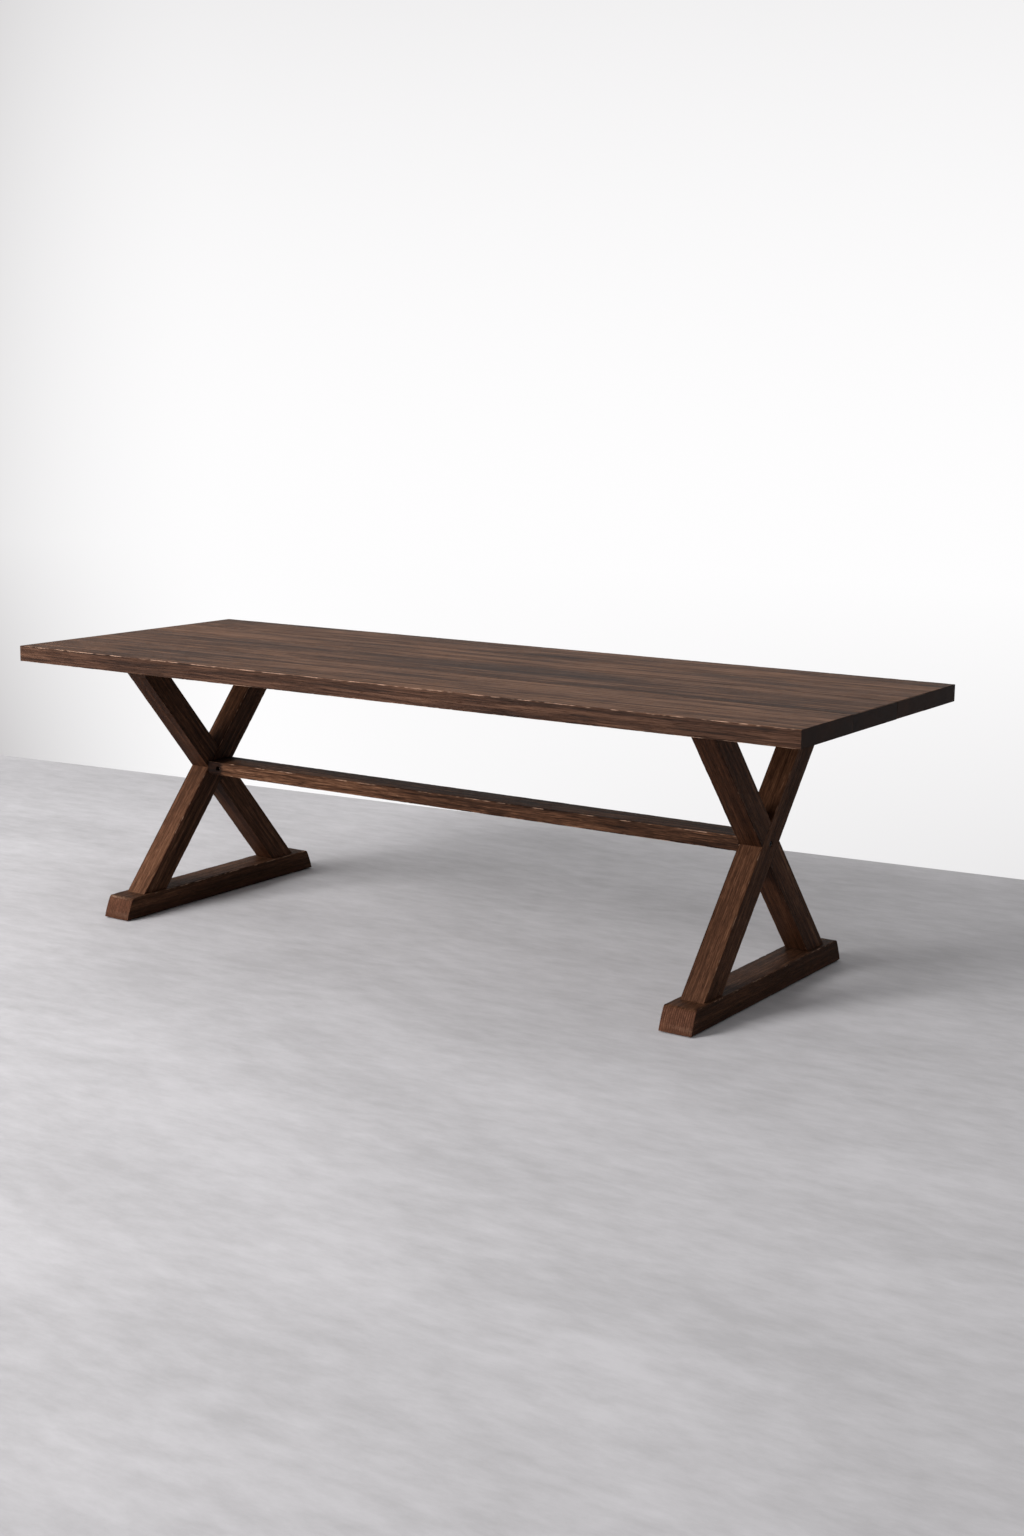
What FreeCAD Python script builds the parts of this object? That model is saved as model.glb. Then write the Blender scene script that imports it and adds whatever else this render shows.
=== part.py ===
import FreeCAD, Part
import math
import os

# Trestle dining table: an edge-glued top on two crossed-leg trestles tied by a flat stretcher.
# Millimetres. The origin is on the floor under the middle of the table. X runs along the table,
# Y from its near edge to its far edge, Z up. The left trestle, and the left end of the stretcher,
# are the right ones turned half a turn about Z.

# ------------------------------------------------------------------ driving sizes

# Tabletop: boards edge to edge, with loose tongues glued into grooves between them
table_height = 760.0
top_length = 2440.0
top_thickness = 44.0
board_widths = (267.0, 250.0, 166.0, 197.0)   # from the near edge to the far edge
top_arris = 1.5                               # rounding of the tabletop's upper and lower rims
joint_bevel = 0.8                             # small bevel along each board joint
tongue_thickness = 10.0
tongue_width = 32.0
tongue_stop = 60.0                            # a tongue ends this far inside the board ends
groove_clearance = 0.5                        # beside and beyond a tongue, for glue

# Trestle: two legs halved into each other, seen as an X from the table's end
end_overhang = 315.0                          # table's end to the middle of a trestle
leg_depth = 65.0                              # along X
leg_width = 71.0                              # across the leg, in the plane of the X
leg_arris = 1.5
foot_spread = 558.0                           # between leg centre lines, on top of the foot
head_spread = 524.0                           # between leg centre lines, under the cleat

# Foot: a bar on its flat, its ends raked, slightly bulging and rounded over at the top
foot_width = 88.0
foot_height = 59.0
foot_toe = 80.0                               # leg's outer edge to the end of the sole
toe_rake = 24.0                               # how far an end leans in, from sole to top
toe_bulge = 2.0
toe_round = 13.0
foot_arris = 1.5

# Cleat: the batten under the tabletop that both legs are tenoned into
cleat_width = 80.0
cleat_thickness = 20.0
cleat_toe = 24.0                              # leg's outer edge to the end of the cleat's underside
cleat_rake = 20.0

# Tenons of the legs, upright so that foot and cleat can be pressed on to the glued X
tenon_thickness = 24.0                        # along X
tenon_length = 56.0                           # along Y
foot_tenon_depth = 30.0
mortise_clearance = 0.2                       # round a tenon
mortise_relief = 1.0                          # beyond a blind tenon's end

# Wedges: two in each tenon that goes through the cleat, to spread it in its flared mortise
wedge_thickness = 4.0                         # at the top
wedge_tip = 1.0                               # thickness at the bottom
wedge_length = 16.0
wedge_inset = 12.0                            # tenon's end to the middle of a wedge
wedge_spread = 1.5                            # how far each end of the tenon is spread at the top
tenon_sink = 0.5                              # tenon and wedges below the cleat's upper face

# Stretcher: a rail on its flat between the two crossings, stub-tenoned into them
stretcher_width = 98.0
stretcher_height = 38.0
stretcher_arris = 2.0
rail_tenon_width = 60.0
rail_tenon_height = 20.0
rail_tenon_depth = 12.0

# Stretcher fittings: a socket-head bolt through each crossing into a barrel nut
rail_bolt_diameter = 8.0
rail_bolt_length = 110.0                      # under the head
rail_bolt_head_diameter = 13.0
rail_bolt_head_height = 8.0
rail_bolt_key = 6.0                           # across the flats of the socket
rail_bolt_sink = 1.0                          # head below the leg's face
rail_washer_diameter = 15.0
rail_washer_thickness = 1.6
counterbore_clearance = 0.3                   # round a washer in its counterbore
bolt_hole_clearance = 0.5                     # round a bolt in a plain hole
barrel_nut_diameter = 14.0
barrel_nut_length = 74.0
barrel_nut_setback = 38.0                     # shoulder of the stretcher to the nut's axis
bolt_end_relief = 1.0                         # beyond the bolt's end
thread_clearance = 0.1                        # round a screw's thread or a nut in its hole

# Top screws: wafer-head screws through slots in the cleat, so that the top can move
top_screw_diameter = 6.0
top_screw_length = 45.0                       # under the head
top_screw_head_diameter = 14.0
top_screw_head_height = 2.5
top_slot_travel = 9.0                         # how much longer a slot is than it is wide
outer_screw_inset = 12.0                      # end of the cleat's underside to the outer screws

# Foot screws: a countersunk screw from under the foot into the bottom of each leg
foot_screw_diameter = 8.0
foot_screw_length = 90.0
foot_screw_head_diameter = 15.0
foot_screw_inset = 10.0                       # towards the middle, from the leg's centre line

# Glides: a strip of hard felt across the sole near each end
glide_thickness = 3.0
glide_width = 40.0                            # along Y
glide_end_inset = 40.0                        # end of the sole to the strip
glide_side_inset = 6.0                        # sides of the foot to the strip

cut_margin = 1.0                              # how far a cutting body runs past a face

# ------------------------------------------------------------------ worked-out sizes

top_under = table_height - top_thickness
top_width = sum(board_widths)
joint_lines = [sum(board_widths[:count]) - top_width / 2 for count in range(1, len(board_widths))]
foot_under = glide_thickness
foot_top = foot_under + foot_height
cleat_under = top_under - cleat_thickness

leg_rise = cleat_under - foot_top
leg_slope = (foot_spread + head_spread) / 2 / leg_rise           # sideways per unit of height
leg_angle = math.atan(leg_slope)
leg_half_cut = leg_width / 2 / math.cos(leg_angle)               # half a leg's level section
crossing_height = foot_top + leg_rise * foot_spread / (foot_spread + head_spread)

trestle_offset = top_length / 2 - end_overhang
inner_face = trestle_offset - leg_depth / 2
outer_face = trestle_offset + leg_depth / 2
foot_half = foot_spread / 2 + leg_half_cut + foot_toe
cleat_half = head_spread / 2 + leg_half_cut + cleat_toe
rail_seat = outer_face - rail_bolt_sink - rail_bolt_head_height - rail_washer_thickness
barrel_axis = inner_face - barrel_nut_setback

# Y of each screw in the middle plane of a trestle
top_screw_places = [row * (cleat_half - outer_screw_inset) for row in (-1, 0, 1)]
foot_screw_places = [side * (foot_spread / 2 - foot_screw_inset) for side in (-1, 1)]

UP = FreeCAD.Vector(0, 0, 1)
DOWN = FreeCAD.Vector(0, 0, -1)
INWARD = FreeCAD.Vector(-1, 0, 0)             # from the right trestle to the middle of the table
ACROSS = FreeCAD.Vector(0, 1, 0)
ORIGIN = FreeCAD.Vector(0, 0, 0)

# ------------------------------------------------------------------ shape helpers


def block(x_low, x_high, y_low, y_high, z_low, z_high):
    """A box between two corners."""
    corner = FreeCAD.Vector(x_low, y_low, z_low)
    return Part.makeBox(x_high - x_low, y_high - y_low, z_high - z_low, corner)


def prism_along_x(outline, x_low, x_high):
    """A closed outline of (y, z) points, extruded along X."""
    points = [FreeCAD.Vector(x_low, y, z) for y, z in outline]
    face = Part.Face(Part.makePolygon(points + points[:1]))
    return face.extrude(FreeCAD.Vector(x_high - x_low, 0, 0))


def turned(profile):
    """A closed profile of (radius, z) points, turned about Z."""
    points = [FreeCAD.Vector(radius, 0, z) for radius, z in profile]
    face = Part.Face(Part.makePolygon(points + points[:1]))
    return face.revolve(ORIGIN, UP, 360)


def bore(diameter, start, direction, depth):
    """A round cutting body that starts a margin before the start point."""
    begin = start - direction * cut_margin
    return Part.makeCylinder(diameter / 2, depth + cut_margin, begin, direction)


def hexagon(across_flats, z_low, height):
    """A six-sided prism on the Z axis."""
    reach = across_flats / math.sqrt(3)
    corners = [math.radians(60 * turn) for turn in range(6)]
    points = [FreeCAD.Vector(reach * math.cos(a), reach * math.sin(a), z_low) for a in corners]
    return Part.Face(Part.makePolygon(points + points[:1])).extrude(UP * height)


def placed(shape, origin, direction):
    """A copy of a shape made along +Z at the origin, set at a place and in a direction."""
    copy = shape.copy()
    copy.Placement = FreeCAD.Placement(origin, FreeCAD.Rotation(UP, direction))
    return copy


def eased(shape, radius, direction):
    """Round the straight edges that run in one direction."""
    chosen = []
    for edge in shape.Edges:
        run = edge.Vertexes[-1].Point - edge.Vertexes[0].Point
        if run.Length > 0 and run.cross(direction).Length < 1e-6 * run.Length:
            chosen.append(edge)
    return shape.makeFillet(radius, chosen)


def half_turn(shape):
    """The same shape at the other end of the table."""
    copy = shape.copy()
    copy.rotate(ORIGIN, UP, 180)
    return copy


def group(shapes):
    """Identical pieces that share a node."""
    return Part.makeCompound(shapes)


# ------------------------------------------------------------------ fasteners, made along +Z


def socket_bolt():
    """A socket-head bolt: its head is below Z = 0 and its shank above."""
    head, shank = rail_bolt_head_diameter / 2, rail_bolt_diameter / 2
    body = turned([(0, -rail_bolt_head_height), (head, -rail_bolt_head_height), (head, 0),
                   (shank, 0), (shank, rail_bolt_length), (0, rail_bolt_length)])
    return body.cut(hexagon(rail_bolt_key, -rail_bolt_head_height, rail_bolt_head_height / 2))


def bolt_washer():
    """The bolt's flat washer, which stands on Z = 0."""
    hole = rail_bolt_diameter / 2 + bolt_hole_clearance
    return turned([(hole, 0), (rail_washer_diameter / 2, 0),
                   (rail_washer_diameter / 2, rail_washer_thickness), (hole, rail_washer_thickness)])


def wafer_screw():
    """A top screw: its flat head is below Z = 0 and its shank above."""
    head, shank = top_screw_head_diameter / 2, top_screw_diameter / 2
    return turned([(0, -top_screw_head_height), (head, -top_screw_head_height), (head, 0),
                   (shank, 0), (shank, top_screw_length), (0, top_screw_length)])


def foot_screw():
    """A countersunk wood screw: the flat of its head is at Z = 0 and its shank above."""
    head, shank = foot_screw_head_diameter / 2, foot_screw_diameter / 2
    return turned([(0, 0), (head, 0), (shank, head - shank), (shank, foot_screw_length),
                   (0, foot_screw_length)])


# ------------------------------------------------------------------ tabletop


def tabletop_boards():
    """One slab with rounded outer edges, parted into its boards."""
    slab = block(-top_length / 2, top_length / 2, -top_width / 2, top_width / 2,
                 top_under, table_height)
    rims = [edge for edge in slab.Edges
            if abs(edge.Vertexes[0].Z - edge.Vertexes[-1].Z) < 1e-6]
    slab = slab.makeFillet(top_arris, rims)
    for line in joint_lines:
        slab = slab.cut(prism_along_x([(line - joint_bevel, table_height),
                                       (line, table_height - joint_bevel),
                                       (line + joint_bevel, table_height)],
                                      -top_length / 2, top_length / 2))
        slab = slab.cut(tongue(line, groove_clearance))
    pilot = top_screw_diameter + 2 * thread_clearance
    for y in top_screw_places:
        hole = bore(pilot, FreeCAD.Vector(trestle_offset, y, top_under), UP,
                    top_screw_length - cleat_thickness)
        slab = slab.cut([hole, half_turn(hole)])
    edges = [-top_width / 2] + joint_lines + [top_width / 2]
    return [slab.common(block(-top_length, top_length, low, high, 0, 2 * table_height))
            for low, high in zip(edges, edges[1:])]


def tongue(line, clearance=0.0):
    """The loose tongue of a board joint, or its groove when it is given a clearance."""
    middle = (top_under + table_height) / 2
    half_length = top_length / 2 - tongue_stop + clearance
    half_width = tongue_width / 2 + clearance
    return block(-half_length, half_length, line - half_width, line + half_width,
                 middle - tongue_thickness / 2, middle + tongue_thickness / 2)


# ------------------------------------------------------------------ right trestle


def leg_bar(lean, x_low, x_high):
    """A leg's straight bar. Its lean is 1 if it rises to the far side, -1 if to the near side."""
    low = lean * (foot_top - crossing_height) * leg_slope
    high = lean * (cleat_under - crossing_height) * leg_slope
    return prism_along_x([(low - leg_half_cut, foot_top), (low + leg_half_cut, foot_top),
                          (high + leg_half_cut, cleat_under), (high - leg_half_cut, cleat_under)],
                         x_low, x_high)


def foot_tenon(y_middle, clearance=0.0, relief=0.0):
    """A leg's blind tenon in the foot, or its mortise when given a clearance and a relief."""
    half_depth = tenon_thickness / 2 + clearance
    half_length = tenon_length / 2 + clearance
    mouth = foot_top if clearance == 0.0 else foot_top + cut_margin
    return block(trestle_offset - half_depth, trestle_offset + half_depth,
                 y_middle - half_length, y_middle + half_length,
                 foot_top - foot_tenon_depth - relief, mouth)


def head_tenon(y_middle):
    """A leg's tenon through the cleat, spread towards the top."""
    low, high = tenon_length / 2, tenon_length / 2 + wedge_spread
    end = top_under - tenon_sink
    return prism_along_x([(y_middle - low, cleat_under), (y_middle + low, cleat_under),
                          (y_middle + high, end), (y_middle - high, end)],
                         trestle_offset - tenon_thickness / 2, trestle_offset + tenon_thickness / 2)


def head_mortise(y_middle):
    """The flared mortise through the cleat."""
    low = tenon_length / 2 + mortise_clearance
    high = low + wedge_spread
    half_depth = tenon_thickness / 2 + mortise_clearance
    right_side = [(low, cleat_under - cut_margin), (low, cleat_under),
                  (high, top_under), (high, top_under + cut_margin)]
    left_side = [(-reach, z) for reach, z in reversed(right_side)]
    return prism_along_x([(y_middle + reach, z) for reach, z in right_side + left_side],
                         trestle_offset - half_depth, trestle_offset + half_depth)


def wedges(y_middle):
    """The two wedges of a head tenon, across its thickness."""
    end = top_under - tenon_sink
    made = []
    for side in (-1, 1):
        middle = y_middle + side * (tenon_length / 2 - wedge_inset)
        made.append(prism_along_x([(middle - wedge_tip / 2, end - wedge_length),
                                   (middle + wedge_tip / 2, end - wedge_length),
                                   (middle + wedge_thickness / 2, end),
                                   (middle - wedge_thickness / 2, end)],
                                  trestle_offset - tenon_thickness / 2,
                                  trestle_offset + tenon_thickness / 2))
    return made


def leg(lean, keeps_outer_half):
    """A leg with its half of the crossing cut away, its two tenons and its bores."""
    along = FreeCAD.Vector(0, lean * leg_slope, 1)
    bar = eased(leg_bar(lean, inner_face, outer_face), leg_arris, along)
    if keeps_outer_half:
        bar = bar.cut(leg_bar(-lean, inner_face - cut_margin, trestle_offset))
    else:
        bar = bar.cut(leg_bar(-lean, trestle_offset, outer_face + cut_margin))
    foot_end, head_end = -lean * foot_spread / 2, lean * head_spread / 2
    bar = bar.fuse([foot_tenon(foot_end), head_tenon(head_end).cut(wedges(head_end))])
    return bar.removeSplitter().cut(crossing_cuts() + foot_screw_pilots())


def crossing_cuts():
    """The stretcher bolt's hole and counterbore, and the mortise for the stretcher's tenon."""
    centre = FreeCAD.Vector(outer_face, 0, crossing_height)
    plain = rail_bolt_diameter + 2 * bolt_hole_clearance
    wide = rail_washer_diameter + 2 * counterbore_clearance
    return [bore(plain, centre, INWARD, leg_depth + cut_margin),
            bore(wide, centre, INWARD, outer_face - rail_seat),
            rail_tenon(mortise_clearance, mortise_relief)]


def rail_tenon(clearance=0.0, relief=0.0):
    """The stretcher's stub tenon, or its mortise when it is given a clearance and a relief."""
    half_width = rail_tenon_width / 2 + clearance
    half_height = rail_tenon_height / 2 + clearance
    root = inner_face if clearance == 0.0 else inner_face - cut_margin
    return block(root, inner_face + rail_tenon_depth + relief, -half_width, half_width,
                 crossing_height - half_height, crossing_height + half_height)


def foot_screw_pilots():
    """The holes in both legs of a trestle for the screws from the foot."""
    pilot = foot_screw_diameter + 2 * thread_clearance
    return [bore(pilot, FreeCAD.Vector(trestle_offset, y, foot_under), UP, foot_screw_length)
            for y in foot_screw_places]


def foot():
    """The sled foot: a bar with rounded arrises and shaped ends, two mortises and two bores."""
    half_width = foot_width / 2
    bar = block(trestle_offset - half_width, trestle_offset + half_width, -foot_half, foot_half,
                foot_under, foot_top)
    bar = eased(bar, foot_arris, ACROSS).common(foot_profile())
    plain = foot_screw_diameter + 2 * bolt_hole_clearance
    for side, y in zip((-1, 1), foot_screw_places):
        seat = FreeCAD.Vector(trestle_offset, y, foot_under)
        bar = bar.cut([foot_tenon(side * foot_spread / 2, mortise_clearance, mortise_relief),
                       bore(plain, seat, UP, foot_height), placed(foot_screw(), seat, UP)])
    return bar


def foot_profile():
    """The foot's side outline as a solid: both ends lean in, bulge a little and are rounded over."""
    crown = foot_half - toe_rake
    levels = {"sole": (foot_half, foot_under), "crown": (crown, foot_top),
              "bulge": ((foot_half + crown) / 2 + toe_bulge, (foot_under + foot_top) / 2)}
    near, far = ({level: FreeCAD.Vector(trestle_offset - foot_width, side * y, z)
                  for level, (y, z) in levels.items()} for side in (-1, 1))
    outline = Part.Wire([Part.LineSegment(near["sole"], far["sole"]).toShape(),
                         Part.Arc(far["sole"], far["bulge"], far["crown"]).toShape(),
                         Part.LineSegment(far["crown"], near["crown"]).toShape(),
                         Part.Arc(near["crown"], near["bulge"], near["sole"]).toShape()])
    bar = Part.Face(outline).extrude(FreeCAD.Vector(2 * foot_width, 0, 0))
    top_edges = [edge for edge in bar.Edges
                 if all(abs(vertex.Z - foot_top) < 1e-6 for vertex in edge.Vertexes)]
    crowns = [edge for edge in top_edges
              if abs(edge.Vertexes[0].Y - edge.Vertexes[-1].Y) < 1e-6]
    return bar.makeFillet(toe_round, crowns)


def cleat():
    """The batten with raked ends, two mortises and a slot for each top screw."""
    crown = cleat_half + cleat_rake
    bar = prism_along_x([(-cleat_half, cleat_under), (cleat_half, cleat_under),
                         (crown, top_under), (-crown, top_under)],
                        trestle_offset - cleat_width / 2, trestle_offset + cleat_width / 2)
    return bar.cut([head_mortise(side * head_spread / 2) for side in (-1, 1)]
                   + [slot(trestle_offset, y) for y in top_screw_places])


def slot(x, y):
    """A slot through the cleat, along Y, for a top screw."""
    radius = top_screw_diameter / 2 + bolt_hole_clearance
    height = cleat_thickness + 2 * cut_margin
    ends = [FreeCAD.Vector(x, y + side * top_slot_travel / 2, cleat_under - cut_margin)
            for side in (-1, 1)]
    middle = block(x - radius, x + radius, ends[0].y, ends[1].y, ends[0].z, ends[0].z + height)
    return middle.fuse([Part.makeCylinder(radius, height, end, UP) for end in ends])


def trestle_fasteners():
    """The screws and wedges of the right trestle, and the strips that it stands on."""
    def row(screw, places, level, direction):
        return group([placed(screw, FreeCAD.Vector(trestle_offset, y, level), direction)
                      for y in places])

    return {"top_screws": row(wafer_screw(), top_screw_places, cleat_under, UP),
            "tenon_wedges": group(wedges(-head_spread / 2) + wedges(head_spread / 2)),
            "foot_screws": row(foot_screw(), foot_screw_places, foot_under, UP),
            "glide_strips": group([glide_strip(side) for side in (-1, 1)])}


def glide_strip(side):
    """The felt strip under one end of the foot: side is -1 for the near end, 1 for the far end."""
    half_x = foot_width / 2 - glide_side_inset
    outer = foot_half - glide_end_inset
    low, high = sorted((side * outer, side * (outer - glide_width)))
    return block(trestle_offset - half_x, trestle_offset + half_x, low, high, 0, glide_thickness)


# ------------------------------------------------------------------ stretcher and its fittings


def stretcher():
    """The flat rail with a tenon at each end, bored for the bolts and the barrel nuts."""
    rail = block(-inner_face, inner_face, -stretcher_width / 2, stretcher_width / 2,
                 crossing_height - stretcher_height / 2, crossing_height + stretcher_height / 2)
    rail = eased(rail, stretcher_arris, INWARD)
    rail = rail.fuse([rail_tenon(), half_turn(rail_tenon())]).removeSplitter()
    end = FreeCAD.Vector(inner_face + rail_tenon_depth, 0, crossing_height)
    bolt_tip = rail_seat + rail_washer_thickness - rail_bolt_length
    mouth = FreeCAD.Vector(barrel_axis, stretcher_width / 2, crossing_height)
    cuts = [bore(rail_bolt_diameter + 2 * bolt_hole_clearance, end, INWARD,
                 end.x - bolt_tip + bolt_end_relief),
            bore(barrel_nut_diameter + 2 * thread_clearance, mouth, ACROSS * -1,
                 stretcher_width / 2 + barrel_nut_length / 2)]
    return rail.cut(cuts + [half_turn(cut) for cut in cuts])


def barrel_nut():
    """The bar nut of the stretcher's right end, across the rail."""
    nut = Part.makeCylinder(barrel_nut_diameter / 2, barrel_nut_length,
                            FreeCAD.Vector(barrel_axis, -barrel_nut_length / 2, crossing_height),
                            ACROSS)
    thread = bore(rail_bolt_diameter + 2 * thread_clearance,
                  FreeCAD.Vector(barrel_axis + barrel_nut_diameter / 2, 0, crossing_height),
                  INWARD, barrel_nut_diameter + cut_margin)
    return nut.cut(thread)


def stretcher_fittings():
    """What holds the stretcher, at its right end and, half a turn round, at its left end."""
    seat = FreeCAD.Vector(rail_seat, 0, crossing_height)
    under_head = seat - INWARD * rail_washer_thickness
    right_end = {"stretcher_bolts": placed(socket_bolt(), under_head, INWARD),
                 "stretcher_washers": placed(bolt_washer(), under_head, INWARD),
                 "barrel_nuts": barrel_nut()}
    return {name: group([shape, half_turn(shape)]) for name, shape in right_end.items()}


# ------------------------------------------------------------------ the whole table


def build():
    """Every node of the table, by name."""
    nodes = {}
    for number, board in enumerate(tabletop_boards(), 1):
        nodes[f"top_board_{number}"] = board
    for number, line in enumerate(joint_lines, 1):
        nodes[f"top_tongue_{number}"] = tongue(line)
    nodes["stretcher"] = stretcher()
    nodes.update(stretcher_fittings())
    trestle = {"foot": foot(), "cleat": cleat(),
               "outer_leg": leg(1, True), "inner_leg": leg(-1, False)}
    trestle.update(trestle_fasteners())
    for name, shape in trestle.items():
        nodes["right_" + name] = shape
        nodes["left_" + name] = half_turn(shape)
    return nodes


def main():
    os.makedirs("parts", exist_ok=True)
    nodes = build()
    for name, shape in nodes.items():
        shape.exportStep(f"parts/{name}.step")
    print(f"{len(nodes)} nodes; crossing at {crossing_height:.1f} mm, "
          f"legs {math.degrees(leg_angle):.1f} degrees from upright, "
          f"foot {2 * foot_half:.0f} mm long, top {top_width:.0f} mm wide")


main()
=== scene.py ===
# %% [markdown]
# # A dark walnut trestle table
# The real table is solid timber stained a deep brown, with a low satin sheen. Its four top
# boards, two crossed trestles and flat stretcher are plain bars, so what makes it look real is
# the wood itself: grain that runs along every piece, edges that years of hands and chairs have
# rubbed pale, and joints that can be read. The sizes are settled in the CAD frame, which is
# loaded here and never moved. The wooden bars get finer meshes made from copies of their CAD
# nodes.

# %% Load the frame
import math

import bmesh
import bpy
from mathutils import Matrix, Vector


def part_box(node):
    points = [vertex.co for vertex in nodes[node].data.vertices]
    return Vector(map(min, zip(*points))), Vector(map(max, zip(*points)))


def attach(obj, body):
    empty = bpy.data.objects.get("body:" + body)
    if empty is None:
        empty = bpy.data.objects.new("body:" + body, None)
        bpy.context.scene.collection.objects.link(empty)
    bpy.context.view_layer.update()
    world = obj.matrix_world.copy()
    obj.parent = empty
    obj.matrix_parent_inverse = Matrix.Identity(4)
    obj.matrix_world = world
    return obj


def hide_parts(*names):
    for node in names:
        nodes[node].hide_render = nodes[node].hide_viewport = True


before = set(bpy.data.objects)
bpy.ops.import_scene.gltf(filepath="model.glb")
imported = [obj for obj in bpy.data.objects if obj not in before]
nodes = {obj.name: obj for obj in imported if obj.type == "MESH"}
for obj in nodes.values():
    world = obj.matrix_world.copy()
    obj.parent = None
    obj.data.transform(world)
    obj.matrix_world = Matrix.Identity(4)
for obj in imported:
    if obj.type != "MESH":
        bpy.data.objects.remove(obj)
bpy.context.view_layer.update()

# %% [markdown]
# ## Nodes written as expressions
# Both Shader and Geometry Nodes are boxes joined by wires. Drawing them by hand is slow to read
# back, so one small class stands for an output socket. Python's operators on it add Math nodes,
# and one method adds any other node: its settings first, because they change which sockets it
# has, and then the values or wires of its sockets.

# %% A wire of a node tree


class Wire:
    """An output socket in a node tree, or only the tree when no socket is given."""

    def __init__(self, tree, socket=None):
        self.tree, self.socket = tree, socket

    def add(self, kind, settings=None, sockets=None, output=0):
        """Add a node: its type, its settings, and the values or wires of its sockets."""
        node = self.tree.nodes.new(kind)
        node.location = (220 * (len(self.tree.nodes) % 9), -300 * (len(self.tree.nodes) // 9))
        for name, value in (settings or {}).items():
            if name == "stops":
                lay_stops(node.color_ramp, value)
            else:
                setattr(node, name, value)
        for name, value in (sockets or {}).items():
            socket = pick(node.inputs, name)
            for wire in value if isinstance(value, list) else [value]:
                if isinstance(wire, Wire):
                    self.tree.links.new(wire.socket, socket)
                else:
                    socket.default_value = wire
        return Wire(self.tree, pick(node.outputs, output))

    def math(self, operation, *values):
        return self.add("ShaderNodeMath", {"operation": operation}, dict(enumerate(values)))

    def __add__(self, other):
        return self.math("ADD", self, other)

    def __sub__(self, other):
        return self.math("SUBTRACT", self, other)

    def __rsub__(self, other):
        return self.math("SUBTRACT", other, self)

    def __mul__(self, other):
        return self.math("MULTIPLY", self, other)

    def __truediv__(self, other):
        return self.math("DIVIDE", self, other)

    def __rtruediv__(self, other):
        return self.math("DIVIDE", other, self)

    __radd__, __rmul__ = __add__, __mul__

    def between(self, low, high, to_low=0.0, to_high=1.0):
        """Spread the range from low to high over another range, and clamp it."""
        return self.add("ShaderNodeMapRange", {"clamp": True},
                        {"Value": self, "From Min": low, "From Max": high,
                         "To Min": to_low, "To Max": to_high})

    def times(self, vector):
        """Multiply a vector wire part by part."""
        return self.add("ShaderNodeVectorMath", {"operation": "MULTIPLY"}, {0: self, 1: vector})

    def towards(self, colour, amount, blend="MIX"):
        """Mix a colour wire with another colour."""
        return self.add("ShaderNodeMix", {"data_type": "RGBA", "blend_type": blend},
                        {"Factor": amount, "A": self, "B": colour})


def pick(sockets, key):
    """The socket with a name or a number, among those that the node's settings leave open."""
    shown = [socket for socket in sockets if socket.enabled]
    named = shown if isinstance(key, int) else [s for s in shown if s.name == key]
    return named[key if isinstance(key, int) else 0] if named else None


def lay_stops(ramp, stops):
    """Set a colour ramp's stops: (position, colour) pairs."""
    while len(ramp.elements) < len(stops):
        ramp.elements.new(1.0)
    for element, (position, colour) in zip(ramp.elements, stops):
        element.position, element.color = position, (*colour, 1.0)


print("Wire adds Math nodes for + - * / and any other node with add()")

# %% [markdown]
# ## Dark-stained walnut
# A board is cut from a log, so its figure is a slice through tree rings that run its whole
# length. Painting stripes on each face would break at every edge. Here the pattern is worked out
# in space instead: Object coordinates are turned until X runs along the grain, rings are laid
# round a pith line beside the piece, and noise that is stretched along X gives fibres and open
# pores. The faces, edges and end grain then agree with each other by themselves.

# %% Noise along the grain


def noise(place, features, detail=2.0, roughness=0.5, bend=0.0):
    """Noise with so many features to the metre along, across and through the grain."""
    spread = place.times(features)
    return spread.add("ShaderNodeTexNoise",
                      sockets={"Vector": spread, "Scale": 1.0, "Detail": detail,
                               "Roughness": roughness, "Distortion": bend})


def grain_of(start, along, wide, pith):
    """Object coordinates turned so that X is along the grain, with the pith line at the origin."""
    to_grain = Matrix((along, wide, along.cross(wide))).to_euler()
    place = start.add("ShaderNodeTexCoord", output="Object")
    return place.add("ShaderNodeMapping", sockets={"Vector": place, "Rotation": to_grain,
                                                   "Location": pith})


def rings_of(grain, spacing):
    """Growth rings: 0 in the early wood of a ring, rising to 1 in its dark late wood."""
    drawn_out = grain.times((0.05, 1.0, 1.0))
    return drawn_out.add("ShaderNodeTexWave",
                         {"wave_type": "RINGS", "rings_direction": "X", "wave_profile": "SAW"},
                         {"Vector": drawn_out, "Scale": math.tau / 20 / spacing,
                          "Distortion": 9.0, "Detail": 2.0, "Detail Scale": 0.12}, "Fac")


def facing(start, way, low=0.55, high=0.80):
    """1 on faces that look along a direction or back along it, 0 on faces that run with it."""
    normal = start.add("ShaderNodeNewGeometry", output="Normal")
    level = start.add("ShaderNodeVectorMath", {"operation": "DOT_PRODUCT"},
                      {0: normal, 1: way}, "Value")
    return level.math("ABSOLUTE", level).between(low, high)


print("grain helpers ready")

# %% [markdown]
# The stain lies thick in soft early wood and thin on hard late wood, so the colour follows the
# fibres. Along the arrises the stain has been rubbed through in broken lines, and a few knocks
# show bare wood. Both masks, "arris" and "chip", are stored on the mesh by the wear tree further
# down. The sheen of rubbed oil is low: a rough surface with little reflection at its base. Each
# kind of mark is one noise, and its three numbers say how many features it has to the metre
# along, across and through the grain.

# %% The stained finish


def new_finish(name):
    """An empty material, and the wire that its nodes start from."""
    material = bpy.data.materials.new(name)
    material.use_nodes = True
    material.node_tree.nodes.clear()
    return material, Wire(material.node_tree)


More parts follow.
